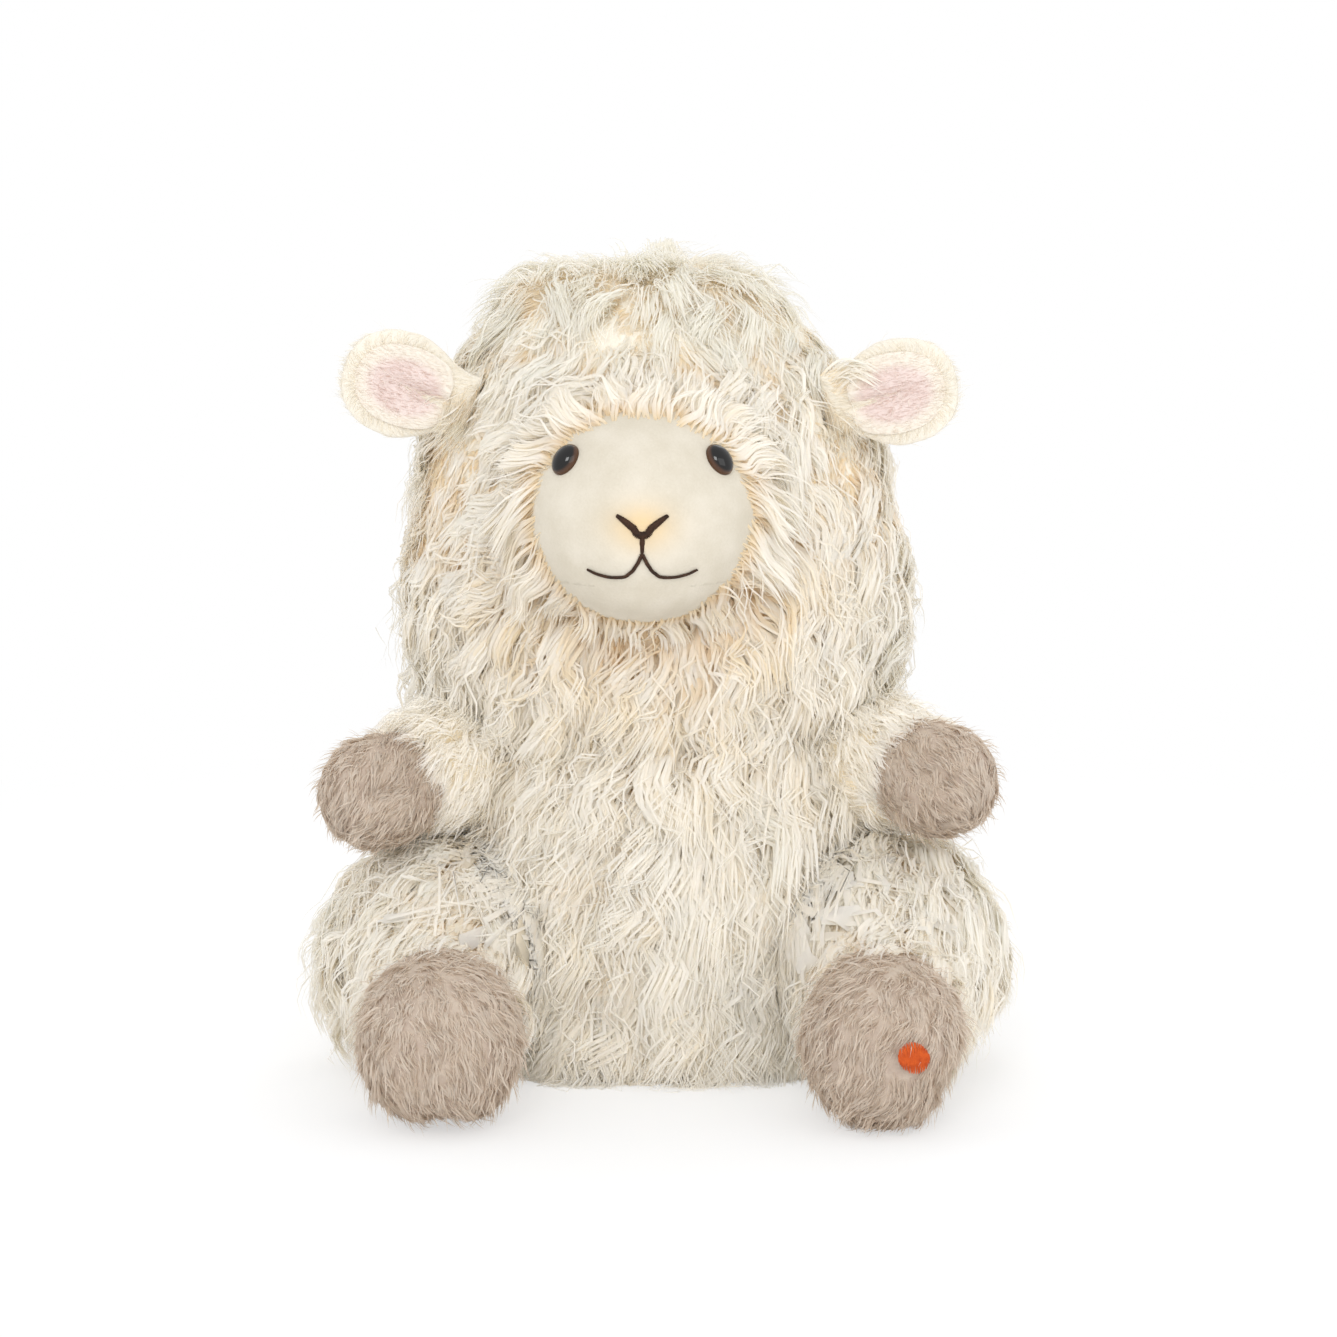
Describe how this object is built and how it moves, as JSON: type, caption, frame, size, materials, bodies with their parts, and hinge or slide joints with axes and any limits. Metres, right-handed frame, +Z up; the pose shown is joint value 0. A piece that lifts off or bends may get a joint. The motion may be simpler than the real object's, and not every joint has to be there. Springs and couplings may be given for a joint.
{
  "type": "plush sheep",
  "caption": "Seated stuffed sheep in long curly wool, with a smooth face, cloven paws and feet, and a head, arms, legs, ears and tail that move at their seams.",
  "frame": {"origin": "centre of the flat panel under the seat, on the surface that the sheep sits on", "axes": "+Z up; the sheep faces -Y, and +X is its left side"},
  "size_m": [0.2181, 0.2246, 0.2577],
  "materials": {
    "ivory_wool": "long curly wool pile, ivory at the tips and tan in its depths",
    "cream_plush": "short soft cream plush",
    "pink_lining": "short pale pink plush",
    "taupe_plush": "dense short taupe plush",
    "black_gloss": "polished black",
    "white_nylon": "moulded white",
    "brown_thread": "satin-stitched dark brown thread",
    "rust_thread": "satin-stitched rust thread",
    "white_fibrefill": "loose white fibre",
    "cream_canvas": "plain cream cloth"
  },
  "bodies": {
    "torso": {"body_cover": "ivory_wool", "body_stuffing": "white_fibrefill", "bean_pouch": "cream_canvas", "base_panel": "cream_canvas"},
    "neck": {"neck_stuffing": "white_fibrefill"},
    "head": {"head_cover": "ivory_wool", "face_panel": "cream_plush", "chin_panel": "cream_plush", "head_stuffing": "white_fibrefill", "eye_left": "black_gloss", "eye_right": "black_gloss", "eye_washer_left": "white_nylon", "eye_washer_right": "white_nylon", "nose_stitching": "brown_thread", "mouth_stitching": "brown_thread"},
    "ear_left": {"ear_back_left": "cream_plush", "ear_lining_left": "pink_lining"},
    "ear_right": {"ear_back_right": "cream_plush", "ear_lining_right": "pink_lining"},
    "arm_left": {"arm_cover_left": "cream_plush", "arm_stuffing_left": "white_fibrefill", "paw_left": "taupe_plush"},
    "arm_right": {"arm_cover_right": "cream_plush", "arm_stuffing_right": "white_fibrefill", "paw_right": "taupe_plush"},
    "leg_left": {"leg_cover_left": "ivory_wool", "leg_stuffing_left": "white_fibrefill", "foot_left": "taupe_plush", "foot_dot": "rust_thread"},
    "leg_right": {"leg_cover_right": "ivory_wool", "leg_stuffing_right": "white_fibrefill", "foot_right": "taupe_plush"},
    "tail": {"tail": "ivory_wool"}
  },
  "joints": [
    {"name": "neck_nod", "type": "hinge", "parent": "torso", "child": "neck", "pos_m": [-0.001, 0.004, 0.11822], "axis": [1, 0, 0], "range_deg": [-8, 8], "stiffness_Nm_per_rad": 0.5},
    {"name": "neck_turn", "type": "hinge", "parent": "neck", "child": "head", "pos_m": [-0.001, 0.004, 0.11822], "axis": [0, 0, 1], "range_deg": [-25, 25], "stiffness_Nm_per_rad": 0.1},
    {"name": "ear_fold_left", "type": "hinge", "parent": "head", "child": "ear_left", "pos_m": [0.05574, -0.0229, 0.21422], "axis": [-0.2079, 0, 0.9781], "range_deg": [-25, 25], "stiffness_Nm_per_rad": 0.01},
    {"name": "ear_fold_right", "type": "hinge", "parent": "head", "child": "ear_right", "pos_m": [-0.06432, -0.0229, 0.21422], "axis": [0.3256, 0, 0.9455], "range_deg": [-25, 25], "stiffness_Nm_per_rad": 0.01},
    {"name": "shoulder_left", "type": "hinge", "parent": "torso", "child": "arm_left", "pos_m": [0.06, -0.006, 0.09622], "axis": [0, 0, 1], "range_deg": [-6, 30], "stiffness_Nm_per_rad": 0.05},
    {"name": "shoulder_right", "type": "hinge", "parent": "torso", "child": "arm_right", "pos_m": [-0.06, -0.006, 0.09622], "axis": [0, 0, 1], "range_deg": [-30, 6], "stiffness_Nm_per_rad": 0.05},
    {"name": "hip_left", "type": "hinge", "parent": "torso", "child": "leg_left", "pos_m": [0.071, -0.026, 0.0375], "axis": [0, 0, 1], "range_deg": [-4, 20], "stiffness_Nm_per_rad": 0.1},
    {"name": "hip_right", "type": "hinge", "parent": "torso", "child": "leg_right", "pos_m": [-0.071, -0.026, 0.0375], "axis": [0, 0, 1], "range_deg": [-20, 4], "stiffness_Nm_per_rad": 0.1},
    {"name": "tail_wag", "type": "hinge", "parent": "torso", "child": "tail", "pos_m": [-0.00019, 0.06235, 0.052], "axis": [0, 0, 1], "range_deg": [-20, 20], "stiffness_Nm_per_rad": 0.01}
  ]
}
